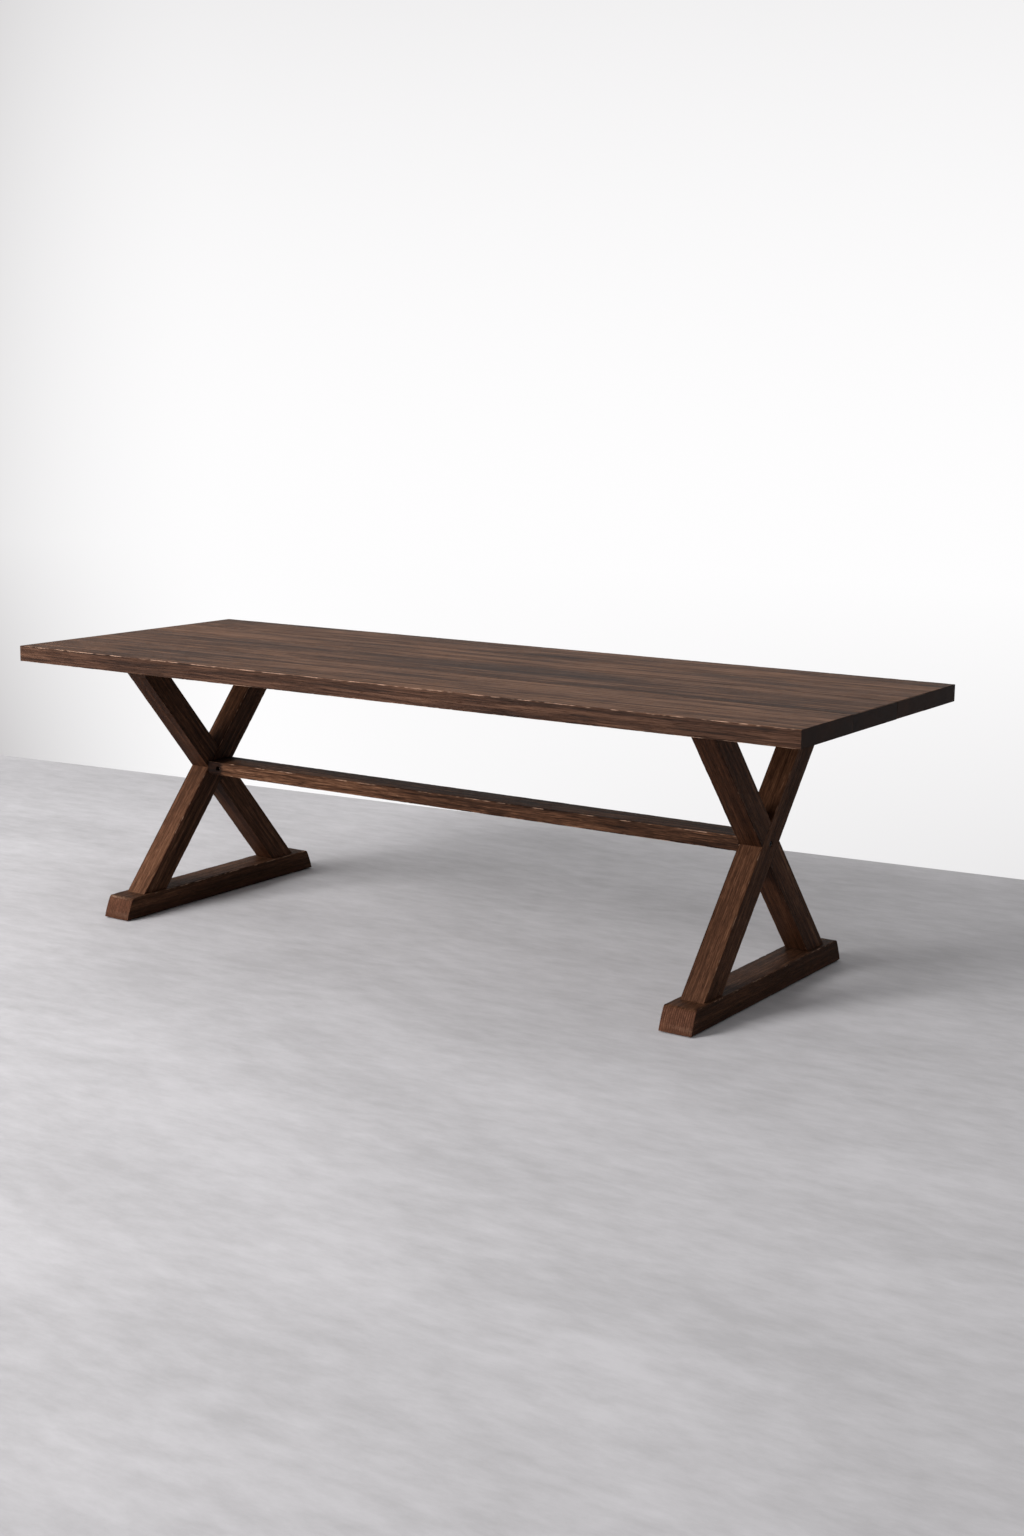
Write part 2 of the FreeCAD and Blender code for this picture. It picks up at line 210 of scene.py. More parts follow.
def close_finish(colour, roughness, height, depth, **constants):
    """The shader and the output of a finish, with its relief in metres."""
    relief = height.add("ShaderNodeBump", sockets={"Height": height, "Distance": depth})
    sockets = {"Base Color": colour, "Roughness": roughness, "Normal": relief}
    sockets.update({name.replace("_", " "): value for name, value in constants.items()})
    shader = colour.add("ShaderNodeBsdfPrincipled", sockets=sockets)
    shader.add("ShaderNodeOutputMaterial", sockets={"Surface": shader})


STAIN = [(0.22, (0.0095, 0.0036, 0.0017)), (0.40, (0.0240, 0.0096, 0.0045)),
         (0.52, (0.0500, 0.0212, 0.0106)), (0.64, (0.0980, 0.0440, 0.0230)),
         (0.82, (0.2200, 0.1130, 0.0660))]
RUBBED, BARE = (0.60, 0.375, 0.265, 1.0), (0.64, 0.42, 0.29, 1.0)
SOAKED_ENDS, EVEN = (0.34, 0.28, 0.26, 1.0), (1.0, 1.0, 1.0, 1.0)
DARK_DASH, DARK_PORE = (0.36, 0.30, 0.28, 1.0), (0.32, 0.27, 0.25, 1.0)
DARK_RAY, PAINTED_RAIL_END_SHADE = (0.34, 0.30, 0.30, 1.0), (0.15, 0.12, 0.11, 1.0)
STREAKS, BANDS, CLOUDS = (3.0, 110.0, 110.0), (0.7, 24.0, 24.0), (2.0, 7.0, 7.0)
PORES, RAYS, BREAKS = (40.0, 1300.0, 1300.0), (20.0, 420.0, 45.0), (26.0, 240.0, 240.0)
RING_SPACING, GRAIN_RELIEF, MIDDLE_TONE = 0.0055, 0.0008, 0.56
DARK_END_BLUR = 0.006


def stained_walnut(name, along, wide, pith, lightness=0.0, figure=(17.0, 150.0, 150.0),
                   contrast=1.0, ends=SOAKED_ENDS, edges=EVEN, wear=0.6, sheen=0.05,
                   painted_shade_from=None):
    """Walnut stain on one piece, cut from its own place beside the pith, with painted light and
    shade where its look asks for it.
    """
    material, start = new_finish(name)
    grain = grain_of(start, along, wide, pith)
    end_grain, on_edge = facing(start, along), facing(start, wide)
    with_grain = 1 - end_grain * 0.7 - on_edge * 0.2
    late = rings_of(grain, RING_SPACING)
    fibres = noise(grain, figure, 3.0, 0.55, 1.2)
    dashes = noise(grain, tuple(1.7 * count for count in figure), 2.0, 0.5, 1.0)
    dashes = dashes.between(0.44, 0.30)
    streaks = noise(grain, STREAKS, 3.0, 0.6, 0.3)
    pores = noise(grain, PORES, 2.0).between(0.60, 0.72)
    bands = noise(grain, BANDS, 4.0, 0.62)
    clouds = noise(grain, CLOUDS, 2.0)
    figured = (fibres - 0.5) * 0.80 + (streaks - 0.5) * 0.75 + (bands - 0.5) * 0.42
    tone = ((figured * with_grain + (clouds - 0.5) * 0.3 - late * (end_grain * 0.12 + 0.08))
            * contrast + (MIDDLE_TONE + lightness))
    colour = tone.add("ShaderNodeValToRGB", {"stops": STAIN}, {"Fac": tone})
    colour = colour.towards(DARK_DASH, dashes * with_grain * 0.8, "MULTIPLY")
    colour = colour.towards(DARK_PORE, pores * 0.7, "MULTIPLY")
    rays = noise(grain, RAYS, 3.0, 0.6).between(0.38, 0.62)
    colour = colour.towards(ends, end_grain, "MULTIPLY")
    colour = colour.towards(DARK_RAY, end_grain * rays * 0.7, "MULTIPLY")
    # Painted light and shade on the faces across the width: below 1 they darken, above 1 they
    # lighten.
    colour = colour.towards(edges, on_edge, "MULTIPLY")
    arris = start.add("ShaderNodeAttribute", {"attribute_name": "arris"}, output="Fac")
    chip = start.add("ShaderNodeAttribute", {"attribute_name": "chip"}, output="Fac")
    broken = noise(grain, BREAKS, 3.0, 0.6)
    thin = (arris * wear + (broken - 0.5) * 1.4).between(0.34, 0.64)
    colour = colour.towards(RUBBED, thin * 0.65)
    colour = colour.towards(BARE, chip * fibres.between(0.3, 0.6) * wear)
    # Painted shade on the rail beyond a given X, towards its left end, where the trestle shades
    # it.
    if painted_shade_from is not None:
        place = start.add("ShaderNodeTexCoord", output="Object")
        run = place.add("ShaderNodeSeparateXYZ", sockets={"Vector": place}, output="X")
        rail_end_shade = (run + (fibres - 0.5) * 0.03).between(painted_shade_from + DARK_END_BLUR,
                                                     painted_shade_from - DARK_END_BLUR)
        colour = colour.towards(PAINTED_RAIL_END_SHADE, rail_end_shade, "MULTIPLY")
    roughness = fibres * 0.14 + pores * 0.2 + clouds * 0.1 + 0.46
    height = fibres * 0.6 - dashes * 0.35 - pores * 0.45 - late * 0.12
    close_finish(colour, roughness, height, GRAIN_RELIEF, Specular_IOR_Level=sheen)
    return material


print("walnut finish ready:", len(STAIN), "stain colours")

# %% [markdown]
# ## The other finishes
# The loose tongues and the tenon wedges are plain unstained oak, straight in the grain. The bolts
# and the top screws are blackened steel, with the oxide rubbed off their high spots. Foot screws,
# washers and barrel nuts are zinc plated, which crystallises in faint patches. The glides are
# pressed wool felt: short hairs that point every way, so their noise isn't stretched.

# %% Oak, steel and felt


def plain_oak(name, along, wide):
    """Pale straight-grained wood with open pores."""
    material, start = new_finish(name)
    grain = grain_of(start, along, wide, (0.3, 0.4, 0.2))
    late = rings_of(grain, 0.003)
    fibres = noise(grain, (9.0, 420.0, 420.0), 4.0, 0.6)
    tone = fibres * 0.7 + late * 0.3
    stops = [(0.2, (0.31, 0.19, 0.10)), (0.8, (0.56, 0.39, 0.23))]
    colour = tone.add("ShaderNodeValToRGB", {"stops": stops}, {"Fac": tone})
    colour = colour.towards((0.55, 0.5, 0.45, 1.0), facing(start, along), "MULTIPLY")
    close_finish(colour, fibres * 0.2 + 0.55, fibres, 0.0004, Specular_IOR_Level=0.3)
    return material


def rubbed_steel(name, dark, bright, patches, rough):
    """Steel whose coat is uneven and thin on its worn patches."""
    material, start = new_finish(name)
    place = start.add("ShaderNodeTexCoord", output="Object")
    coat = noise(place, (patches,) * 3, 3.0, 0.6)
    scratches = noise(place, (3000.0, 700.0, 700.0), 2.0)
    worn = coat.between(0.52, 0.66) * scratches.between(0.35, 0.6)
    colour = worn.add("ShaderNodeValToRGB", {"stops": [(0.0, dark), (1.0, bright)]}, {"Fac": worn})
    close_finish(colour, rough - worn * 0.12 + scratches * 0.1, scratches, 0.00005, Metallic=1.0)
    return material


def wool_felt(name):
    """Pressed felt: matted hairs in two greys."""
    material, start = new_finish(name)
    place = start.add("ShaderNodeTexCoord", output="Object")
    mat = noise(place, (900.0,) * 3, 5.0, 0.7)
    tufts = noise(place, (140.0,) * 3, 2.0)
    tone = mat * 0.7 + tufts * 0.3
    stops = [(0.35, (0.022, 0.020, 0.018)), (0.7, (0.10, 0.092, 0.085))]
    colour = tone.add("ShaderNodeValToRGB", {"stops": stops}, {"Fac": tone})
    close_finish(colour, mat * 0.08 + 0.9, mat + tufts * 0.5, 0.0007, Specular_IOR_Level=0.1)
    return material


black_steel = rubbed_steel("blackened_bolts", dark=(0.018, 0.018, 0.02),
                           bright=(0.30, 0.29, 0.28), patches=260.0, rough=0.42)
zinc_steel = rubbed_steel("plated_screws", dark=(0.46, 0.47, 0.49),
                          bright=(0.70, 0.71, 0.72), patches=420.0, rough=0.36)
felt = wool_felt("grey_felt")
print("small finishes:", black_steel.name, zinc_steel.name, felt.name)

# %% [markdown]
# ## Where each bar lies
# Every wooden bar is described by the way its grain runs, its wide direction, its middle and its
# half sizes. Boards, feet, cleats and the stretcher lie square, so their CAD boxes give all of
# it. The legs lean: their feet and heads are a known spread apart, and half of both spreads
# together over the rise between them is the slope.

# %% The bars
X, Y, Z = Vector((1, 0, 0)), Vector((0, 1, 0)), Vector((0, 0, 1))
LEG_WIDTH, LEG_DEPTH = 0.071, 0.065
FOOT_SPREAD, HEAD_SPREAD, LEG_RISE = 0.558, 0.524, 0.634
lean = math.atan((FOOT_SPREAD + HEAD_SPREAD) / 2 / LEG_RISE)


def middle_of(node):
    low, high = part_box(node)
    return (low + high) / 2


def square_bar(node, along, wide):
    """The description of a bar that lies along the axes."""
    low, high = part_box(node)
    thick = along.cross(wide)
    size = high - low
    return {"along": along, "wide": wide, "middle": (low + high) / 2,
            "half_wide": abs(size.dot(wide)) / 2, "half_thick": abs(size.dot(thick)) / 2}


def leaning_bar(side, way):
    """The description of a leg: side is its trestle, way is 1 if it rises to the far side."""
    along = Vector((0, way * math.sin(lean), math.cos(lean)))
    wide = Vector((0, math.cos(lean), -way * math.sin(lean)))
    crossing = Vector((side * middle_of("right_foot").x, 0, middle_of("stretcher").z))
    return {"along": along, "wide": wide, "middle": crossing,
            "half_wide": LEG_WIDTH / 2, "half_thick": LEG_DEPTH / 2}


bars = {f"top_board_{number}": square_bar(f"top_board_{number}", X, Y) for number in range(1, 5)}
bars["stretcher"] = square_bar("stretcher", X, Y)
for side, trestle in ((1, "right"), (-1, "left")):
    bars[f"{trestle}_foot"] = square_bar(f"{trestle}_foot", Y, X)
    bars[f"{trestle}_cleat"] = square_bar(f"{trestle}_cleat", Y, X)
    bars[f"{trestle}_outer_leg"] = leaning_bar(side, side)
    bars[f"{trestle}_inner_leg"] = leaning_bar(side, -side)
print("bars:", len(bars), "legs lean", round(math.degrees(lean), 1), "degrees")

# %% [markdown]
# ## Meshes that can wear
# A CAD mesh has long faces with points only at their corners, so nothing along an edge can move.
# A copy of it is merged into whole faces, then sliced every few millimetres along the grain, and
# once beside each arris so that a knock stays local. Slicing keeps every joint and mortise of the
# CAD shape, which modelling the bars afresh would lose.

# %% Slice a bar
STEP, RIM = 0.007, 0.004
SAME_POINT, FLAT = 1e-6, math.radians(0.4)


def welded(mesh):
    """A bmesh copy of a mesh in which points that lie together are one."""
    copy = bmesh.new()
    copy.from_mesh(mesh)
    bmesh.ops.remove_doubles(copy, verts=copy.verts, dist=SAME_POINT)
    return copy


def whole_copy(node):
    """A bmesh copy of a CAD node with its loose triangles merged into whole faces."""
    copy = welded(nodes[node].data)
    bmesh.ops.dissolve_limit(copy, angle_limit=FLAT, verts=copy.verts, edges=copy.edges)
    return copy


def slice_across(mesh, point, normal):
    geometry = mesh.verts[:] + mesh.edges[:] + mesh.faces[:]
    bmesh.ops.bisect_plane(mesh, geom=geometry, dist=SAME_POINT, plane_co=point, plane_no=normal)


def sliced_bar(node, along, wide, middle, half_wide, half_thick):
    """A mesh of a bar with cuts beside its arrises and at every step along it."""
    mesh = whole_copy(node)
    reach = [(vert.co - middle).dot(along) for vert in mesh.verts]
    low, high = min(reach), max(reach)
    cuts = [(wide, side * (half_wide - RIM)) for side in (-1, 1)]
    cuts += [(along.cross(wide), side * (half_thick - RIM)) for side in (-1, 1)]
    steps = round((high - low) / STEP)
    cuts += [(along, low + (high - low) * count / steps) for count in range(1, steps)]
    for normal, offset in cuts:
        slice_across(mesh, middle + normal * offset, normal)
    return mesh_from(mesh, node + "_sliced")


def mesh_from(shape, name):
    """Turn a bmesh into a mesh, and free it."""
    mesh = bpy.data.meshes.new(name)
    shape.to_mesh(mesh)
    shape.free()
    return mesh


print("slices every", STEP * 1000, "mm; rim", RIM * 1000, "mm")

# %% [markdown]
# ## Building and running trees
# A Geometry Nodes tree is a recipe with named inputs, run as a modifier. Three helpers do what
# every tree here needs: open it with its inputs, close it with real meshes and a material, and
# run it on a mesh once, keeping the result as a plain mesh. The modifier is then gone, so the
# piece can't change behind the lesson's back.

# %% Build and run trees
SMOOTH_ANGLE = math.radians(32)


def new_tree(name, inputs):
    """A Geometry Nodes tree, its start, and the wires of its named inputs (type, value)."""
    tree = bpy.data.node_groups.new(name, "GeometryNodeTree")
    tree.interface.new_socket("Geometry", in_out="INPUT", socket_type="NodeSocketGeometry")
    for label, (kind, value) in inputs.items():
        socket = tree.interface.new_socket(label, in_out="INPUT", socket_type="NodeSocket" + kind)
        if value is not None:
            socket.default_value = value
    tree.interface.new_socket("Geometry", in_out="OUTPUT", socket_type="NodeSocketGeometry")
    entry = tree.nodes.new("NodeGroupInput")
    wires = {socket.name: Wire(tree, socket) for socket in entry.outputs if socket.name}
    return Wire(tree), wires


def close_tree(geometry, finish):
    """The end of every tree: real meshes instead of instances, and their material."""
    real = geometry.add("GeometryNodeRealizeInstances", sockets={"Geometry": geometry})
    dressed = real.add("GeometryNodeSetMaterial", sockets={"Geometry": real, "Material": finish})
    dressed.add("NodeGroupOutput", sockets={"Geometry": dressed})


def run_tree(tree, mesh, name, values):
    """Run a tree on a mesh, and keep the result as a plain mesh object."""
    piece = bpy.data.objects.new(name, mesh)
    bpy.context.scene.collection.objects.link(piece)
    modifier = piece.modifiers.new(tree.name, "NODES")
    modifier.node_group = tree
    for item in tree.interface.items_tree:
        if item.in_out == "INPUT" and item.name in values:
            modifier[item.identifier] = values[item.name]
    evaluated = piece.evaluated_get(bpy.context.evaluated_depsgraph_get())
    made = bpy.data.meshes.new_from_object(evaluated)
    piece.modifiers.remove(modifier)
    piece.data = made
    made.name = name
    made.shade_smooth()
    made.set_sharp_from_angle(angle=SMOOTH_ANGLE)
    return piece


print("tree helpers ready")

# %% [markdown]
# ## Wear, as a Geometry Nodes tree
# Wear follows a rule: it happens at arrises, more on some stretches than on others, with a few
# deeper knocks. The angle between faces finds the arrises. Slow noise sets how far each point is
# rubbed in, and a second, sparse noise makes the knocks. Both are stored for the finish. Edges
# inside a joint are sharper than an eased arris, so they can be told apart and spared.

# %% The wear tree
KNOCK_SEED_SHIFT = 40.0
start, wires = new_tree("Worn arrises", {
    "Rub": ("Float", 0.0009), "Rub Length": ("Float", 0.035), "Knock": ("Float", 0.0022),
    "Knock Length": ("Float", 0.011), "Joint Share": ("Float", 0.15), "Seed": ("Float", 0.0),
    "Finish": ("Material", None)})
angle = start.add("GeometryNodeInputMeshEdgeAngle", output="Unsigned Angle")
spare = angle.between(0.34, 0.40)
arris = angle.between(0.01, 0.10) * (1 - spare * (1 - wires["Joint Share"]))
place = start.add("GeometryNodeInputPosition")
slow = place.add("ShaderNodeTexNoise", {"noise_dimensions": "4D"},
                 {"Vector": place, "W": wires["Seed"], "Scale": 1 / wires["Rub Length"],
                  "Detail": 3.0})
quick = place.add("ShaderNodeTexNoise", {"noise_dimensions": "4D"},
                  {"Vector": place, "W": wires["Seed"] + KNOCK_SEED_SHIFT,
                   "Scale": 1 / wires["Knock Length"], "Detail": 1.0})
rub = arris * slow.between(0.40, 0.58)
knock = arris * quick.between(0.61, 0.69)
geometry = wires["Geometry"]
for label, field in (("arris", rub), ("chip", knock)):
    geometry = geometry.add("GeometryNodeStoreNamedAttribute",
                            {"data_type": "FLOAT", "domain": "POINT"},
                            {"Geometry": geometry, "Name": label, "Value": field})
depth = rub * wires["Rub"] + knock * wires["Knock"]
normal = start.add("GeometryNodeInputNormal")
push = normal.add("ShaderNodeVectorMath", {"operation": "SCALE"},
                  {"Vector": normal, "Scale": depth * -1.0})
geometry = geometry.add("GeometryNodeSetPosition", sockets={"Geometry": geometry, "Offset": push})
close_tree(geometry, wires["Finish"])
wear_tree = start.tree
print("wear tree nodes:", len(wear_tree.nodes))

# %% [markdown]
# ## Dress the bars
# Each bar is cut from its own place in the log, so no two show the same figure: the pith line is
# set well below a wide board, which gives open arches on its face, and closer to a leg. The
# boards differ a little in tone, as glued-up boards do. The long edge faces of the boards get
# painted shade; legs that lean towards the sitter get painted shade on their front and back faces,
# the other legs painted light there, and the stretcher's left end painted shade. The slot says
# which of the record's materials a bar is made of.

# %% Finish and wear every bar
PALE_FOOT_ENDS = (1.9, 1.8, 1.9, 1.0)
PITH_LINES = {"top_board_1": (0.4, 0.031, -0.72), "top_board_2": (2.1, 0.21, -0.69),
              "top_board_3": (3.7, -0.12, -0.80), "top_board_4": (5.2, -0.30, -0.70),
              "stretcher": (7.0, 0.05, -0.33), "right_foot": (9.1, 0.03, 0.05),
              "left_foot": (10.7, -0.06, -0.03)}
RAIL_END_SHADE_FROM = -0.817
BOARD_TONES = {"top_board_1": 0.116, "top_board_2": 0.094, "top_board_3": 0.122,
               "top_board_4": 0.102}


def look_of(node):
    """What sets a bar's finish apart: long figure on boards, pale foot ends, painted light and
    shade.
    """
    if node.startswith("top_board"):
        # The long edge faces of a board get painted shade.
        return {"lightness": BOARD_TONES[node], "figure": (6.5, 250.0, 250.0), "contrast": 1.15,
                "edges": (0.42, 0.39, 0.39, 1.0), "wear": 1.2, "sheen": 0.09}
    if node == "stretcher":
        # Painted shade at the stretcher's left end.
        return {"figure": (16.0, 240.0, 240.0), "wear": 0.8, "painted_shade_from": RAIL_END_SHADE_FROM}
    if node.endswith("foot"):
        return {"ends": PALE_FOOT_ENDS, "lightness": -0.01, "contrast": 0.68,
                "figure": (24.0, 270.0, 270.0)}
    # Legs that lean towards the sitter get painted shade on their front and back faces, the others
    # painted light.
    faces_down = bars[node]["along"].y < 0
    return {"contrast": 0.68, "lightness": 0.008, "figure": (25.0, 290.0, 290.0), "wear": 0.8,
            "edges": (0.58, 0.52, 0.49, 1.0) if faces_down else (1.14, 1.13, 1.14, 1.0)}


def slot_of(node):
    """The record's material slot of a wooden bar."""
    if node.startswith("top_board"):
        return "top_wood"
    return "stretcher_wood" if node == "stretcher" else "trestle_wood"


def ride_for(piece, node, slot):
    """Let a piece stand for its CAD node, and ride with the table."""
    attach(piece, "root")
    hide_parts(node)


for number, (node, bar) in enumerate(bars.items()):
    beside = (1.3 * number, 0.04 + 0.011 * number, 0.03 - 0.9 * (number % 2))
    pith = PITH_LINES.get(node, beside)
    finish = stained_walnut("walnut_" + node, bar["along"], bar["wide"], pith, **look_of(node))
    piece = run_tree(wear_tree, sliced_bar(node, **bar), node + "_worn",
                     {"Seed": 3.0 * number, "Finish": finish})
    ride_for(piece, node, slot_of(node))
    print(f"{node}: {len(piece.data.polygons)} faces")

# %% [markdown]
# ## Turned hardware
# Bolts, screws, washers and the long barrel nuts are turned or rolled, so every one of them is a
# profile swept round an axis. A Screw modifier could do that, but a socket, a cross recess and a
# knurl aren't round. Here each ring of the profile has its own rule for the radius at an angle,
# which gives all of them in one closed mesh. Sizes are millimetres, as on a workshop drawing,
# with the head below zero and the shank above it.

# %% Turn a blank
TURN_STEPS, NEARLY_ZERO = 48, 1e-9


def turned(name, rings, closed_loop=False):
    """A blank turned about Z from (height, radius) rings; a radius may be a rule of the angle."""
    shape = bmesh.new()
    rows = []
    for height, radius in rings:
        angles = [math.tau * step / TURN_STEPS for step in range(TURN_STEPS)]
        reach = [radius(angle) if callable(radius) else radius for angle in angles]
        rows.append([shape.verts.new((out * math.cos(angle) / 1000, out * math.sin(angle) / 1000,
                                      height / 1000)) for out, angle in zip(reach, angles)])
    for low, high in zip(rows, rows[1:] + rows[:1] if closed_loop else rows[1:]):
        for step in range(TURN_STEPS):
            shape.faces.new((low[step - 1], low[step], high[step], high[step - 1]))
    if not closed_loop:
        shape.faces.new(rows[0])
        shape.faces.new(rows[-1])
    bmesh.ops.recalc_face_normals(shape, faces=shape.faces)
    blank = bpy.data.objects.new(name, mesh_from(shape, name))
    bpy.context.scene.collection.objects.link(blank)
    return blank


def hexagon(across_flats):
    return lambda angle: across_flats / 2 / math.cos(angle % (math.pi / 3) - math.pi / 6)


def knurled(radius, depth):
    return lambda angle: radius - depth * (round(angle * TURN_STEPS / math.tau) % 2)


def wing(reach, width, angle):
    """The radius at an angle of a bar-shaped recess along X."""
    return min(reach / max(abs(math.cos(angle)), NEARLY_ZERO),
               width / 2 / max(abs(math.sin(angle)), NEARLY_ZERO))


def cross_recess(reach, width):
    return lambda angle: max(wing(reach, width, angle), wing(reach, width, angle + math.pi / 2))


def slot_recess(reach, width):
    return lambda angle: wing(reach, width, angle)


def shank(start, end, step, radius):
    """Close rings along a shank, for a thread to be raised on."""
    count = round((end - start) / step)
    return [(start + (end - start) * number / count, radius) for number in range(count + 1)]


print("blanks have", TURN_STEPS, "sides")

# %% [markdown]
# ## Threads and places, as a Geometry Nodes tree
# A thread follows a rule too: the ridge is where height divided by pitch, less the part of a
# turn, comes to a whole number. The tree raises that ridge on the blank's shank, fading in and
# out at its ends, and then sets the blank on every seat point, turned to the direction stored
# there. All the fasteners of one kind become one mesh, as they are one node.

# %% The fastener tree
THREAD_FADE = 0.002
start, wires = new_tree("Fasteners on seats", {
    "Blank": ("Object", None), "Pitch": ("Float", 0.00125), "Ridge": ("Float", 0.0),
    "Thread From": ("Float", 0.0), "Thread To": ("Float", 1.0), "Finish": ("Material", None)})
blank = start.add("GeometryNodeObjectInfo", sockets={"Object": wires["Blank"]}, output="Geometry")
place = start.add("GeometryNodeInputPosition")
across, aside, height = (place.add("ShaderNodeSeparateXYZ", sockets={"Vector": place}, output=axis)
                         for axis in "XYZ")
turn = aside.math("ARCTAN2", aside, across) / math.tau
phase = start.math("FRACT", height / wires["Pitch"] - turn)
ridge = 1 - start.math("ABSOLUTE", phase * 2 - 1)
fade_in = (height - wires["Thread From"]).between(0.0, THREAD_FADE)
fade_out = (wires["Thread To"] - height).between(0.0, THREAD_FADE)
outward = place.times((1.0, 1.0, 0.0))
outward = outward.add("ShaderNodeVectorMath", {"operation": "NORMALIZE"}, {0: outward})
lift = outward.add("ShaderNodeVectorMath", {"operation": "SCALE"},
                   {"Vector": outward, "Scale": ridge * fade_in * fade_out * wires["Ridge"]})
threaded = blank.add("GeometryNodeSetPosition", sockets={"Geometry": blank, "Offset": lift})
aim = start.add("GeometryNodeInputNamedAttribute", {"data_type": "FLOAT_VECTOR"},
                {"Name": "aim"}, "Attribute")
turned_to = aim.add("FunctionNodeAlignRotationToVector", {"axis": "Z"}, {"Vector": aim})
placed = threaded.add("GeometryNodeInstanceOnPoints",
                      sockets={"Points": wires["Geometry"], "Instance": threaded,
                               "Rotation": turned_to})
close_tree(placed, wires["Finish"])
fastener_tree = start.tree
print("fastener tree nodes:", len(fastener_tree.nodes))


def set_fasteners(node, blank, seats, slot, finish, pitch=1.25, ridge=0.0, thread=(0.0, 1.0)):
    """Set a blank on its (place, aim) seats; the sizes of the thread are in millimetres."""
    points = bpy.data.meshes.new(node + "_seats")
    points.from_pydata([seat for seat, aim in seats], [], [])
    aims = points.attributes.new("aim", "FLOAT_VECTOR", "POINT")
    aims.data.foreach_set("vector", [part for seat, aim in seats for part in aim])
    piece = run_tree(fastener_tree, points, node + "_turned",
                     {"Blank": blank, "Pitch": pitch / 1000, "Ridge": ridge / 1000,
                      "Thread From": thread[0] / 1000, "Thread To": thread[1] / 1000,
                      "Finish": finish})
    ride_for(piece, node, slot)
    print(f"{node}: {len(seats)} set, {len(piece.data.polygons)} faces")


# %% [markdown]
# ## The stretcher's fittings
# A socket-head bolt goes through each crossing, with a flat washer under its head, into a barrel
# nut across the rail. Its head has a knurl for the fingers, an eased rim and a hexagon socket.
# Only the last stretch of its shank is threaded. The nut's visible end has a slot, to line its
# hole up with the bolt.

# %% Bolts, washers and barrel nuts
level = middle_of("stretcher").z
seat_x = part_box("stretcher_washers")[1].x
BOLT_LENGTH, BOLT_THREAD, HEX_KEY, NUT_RADIUS = 110.0, 30.0, 6.0, 7.0
socket_bolt = turned("socket_bolt_blank", [
    (-4.0, hexagon(HEX_KEY)), (-7.7, hexagon(HEX_KEY)), (-8.0, hexagon(HEX_KEY + 0.5)),
    (-8.0, 5.6), (-7.8, 6.0), (-7.3, 6.4), (-7.2, knurled(6.5, 0.18)), (-1.3, knurled(6.5, 0.18)),
    (-1.1, 6.3), (0.0, 6.3), (0.0, 4.6), (0.4, 4.1), (0.9, 4.0),
    (BOLT_LENGTH - BOLT_THREAD - 1, 4.0)]
    + shank(BOLT_LENGTH - BOLT_THREAD, BOLT_LENGTH - 1, 0.21, 3.35) + [(BOLT_LENGTH, 2.6)])
bolt_seats = [((side * seat_x, 0, level), (-side, 0, 0)) for side in (1, -1)]
set_fasteners("stretcher_bolts", socket_bolt, bolt_seats, "black_steel", black_steel,
              1.25, 0.63, (BOLT_LENGTH - BOLT_THREAD, BOLT_LENGTH))
washer = turned("washer_blank", [(0.25, 4.5), (0.0, 4.75), (0.0, 7.1), (0.2, 7.4), (0.5, 7.5),
                                 (1.5, 7.5), (1.6, 7.4), (1.6, 4.6), (1.5, 4.5)], True)
set_fasteners("stretcher_washers", washer, bolt_seats, "zinc_steel", zinc_steel)

nut_low, nut_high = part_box("barrel_nuts")
half_nut = (nut_high.y - nut_low.y) / 2 * 1000
barrel_nut = turned("barrel_nut_blank", [
    (1.8 - half_nut, slot_recess(4.6, 1.6)), (-half_nut, slot_recess(4.8, 1.9)), (-half_nut, 6.1),
    (0.3 - half_nut, 6.7), (0.9 - half_nut, NUT_RADIUS), (half_nut - 0.9, NUT_RADIUS),
    (half_nut - 0.3, 6.7), (half_nut, 6.1)])
drill = turned("cross_drill", [(-12.0, 4.1), (12.0, 4.1)])
drill.matrix_world = Matrix.Rotation(math.pi / 2, 4, "Y")
bore = barrel_nut.modifiers.new("cross bore", "BOOLEAN")
bore.object, bore.operation, bore.solver = drill, "DIFFERENCE", "EXACT"
bored = bpy.data.meshes.new_from_object(
    barrel_nut.evaluated_get(bpy.context.evaluated_depsgraph_get()))
barrel_nut.modifiers.remove(bore)
barrel_nut.data = mesh_from(welded(bored), "bored_nut")
nut_x = nut_high.x - NUT_RADIUS / 1000
nut_seats = [((side * nut_x, 0, level), (0, -side, 0)) for side in (1, -1)]
set_fasteners("barrel_nuts", barrel_nut, nut_seats, "zinc_steel", zinc_steel)

# %% [markdown]
# ## Screws in the cleats and under the feet
# The top is held by wafer-head screws through slots, so that it can swell and shrink across its
# grain. Long countersunk screws pull the feet onto the legs. Both have a cross recess, a coarse
# thread on a thinner core and a point. Their places are read from the boxes of their CAD nodes.

